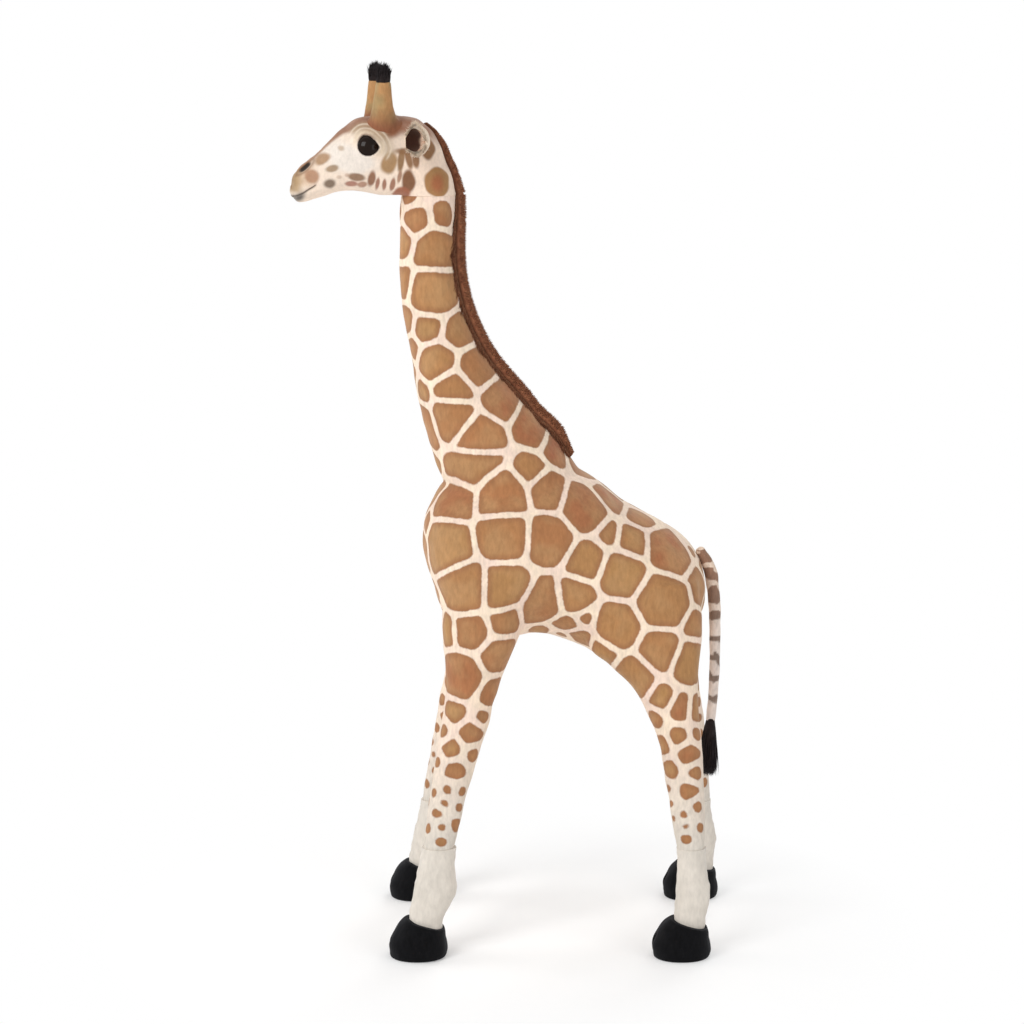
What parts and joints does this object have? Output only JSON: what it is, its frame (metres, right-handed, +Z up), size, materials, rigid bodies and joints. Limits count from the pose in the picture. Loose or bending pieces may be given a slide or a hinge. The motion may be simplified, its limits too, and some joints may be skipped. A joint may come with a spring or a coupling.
{
  "type": "standing plush giraffe",
  "caption": "Large standing stuffed giraffe with patched short plush, mane, horns with tufts, floppy ears, tail and dark hooves on a hidden wire frame.",
  "frame": {"origin": "on the floor, in the middle of the object's outline", "axes": "+Z up, the giraffe faces -Y and its left side is +X"},
  "size_m": [0.3922, 0.6648, 1.3499],
  "materials": {
    "spotted_plush": "short printed plush, tan patches on cream",
    "sock_plush": "short off-white plush",
    "black_plush": "short near-black plush",
    "mane_pile": "longer reddish-brown pile",
    "black_pile": "long near-black pile",
    "face_plush": "short cream plush with airbrushed brown spots",
    "horn_plush": "short tan plush",
    "ear_lining_plush": "short dark brown plush",
    "tail_plush": "short cream plush with brown bands",
    "eye_plastic": "dark glossy dome",
    "washer_plastic": "moulded white locking washer",
    "sole_board": "stiff sheet",
    "frame_steel": "drawn wire and bar"
  },
  "bodies": {
    "body": {"torso": "spotted_plush", "neck": "spotted_plush", "mane": "mane_pile", "spine_frame": "frame_steel", "neck_rod": "frame_steel", "left_front_leg": "spotted_plush", "left_front_sock": "sock_plush", "left_front_hoof": "black_plush", "left_front_leg_rod": "frame_steel", "left_front_sole_board": "sole_board", "left_hind_leg": "spotted_plush", "left_hind_sock": "sock_plush", "left_hind_hoof": "black_plush", "left_hind_leg_rod": "frame_steel", "left_hind_sole_board": "sole_board", "right_front_leg": "spotted_plush", "right_front_sock": "sock_plush", "right_front_hoof": "black_plush", "right_front_leg_rod": "frame_steel", "right_front_sole_board": "sole_board", "right_hind_leg": "spotted_plush", "right_hind_sock": "sock_plush", "right_hind_hoof": "black_plush", "right_hind_leg_rod": "frame_steel", "right_hind_sole_board": "sole_board"},
    "head": {"head": "face_plush", "poll_mane": "mane_pile", "left_eye": "eye_plastic", "left_eye_washer": "washer_plastic", "left_horn": "horn_plush", "left_horn_tuft": "black_pile", "right_eye": "eye_plastic", "right_eye_washer": "washer_plastic", "right_horn": "horn_plush", "right_horn_tuft": "black_pile"},
    "left_ear": {"left_ear": "face_plush", "left_ear_lining": "ear_lining_plush"},
    "right_ear": {"right_ear": "face_plush", "right_ear_lining": "ear_lining_plush"},
    "tail": {"tail": "tail_plush", "tail_tuft": "black_pile"}
  },
  "joints": [
    {"name": "head_turn", "type": "hinge", "parent": "body", "child": "head", "pos_m": [0, -0.12734, 1.1483], "axis": [0, 0, 1], "range_deg": [-45, 30]},
    {"name": "left_ear_flap", "type": "hinge", "parent": "head", "child": "left_ear", "pos_m": [0.05858, -0.15391, 1.22866], "axis": [-0.2662, -0.0517, 0.9625], "range_deg": [-25, 25], "stiffness_Nm_per_rad": 0.05},
    {"name": "right_ear_flap", "type": "hinge", "parent": "head", "child": "right_ear", "pos_m": [-0.04436, -0.17392, 1.22865], "axis": [0.2658, 0.0517, 0.9626], "range_deg": [-25, 25], "stiffness_Nm_per_rad": 0.05},
    {"name": "tail_swing", "type": "hinge", "parent": "body", "child": "tail", "pos_m": [0, 0.29187, 0.59913], "axis": [1, 0, 0], "range_deg": [0, 70]}
  ]
}
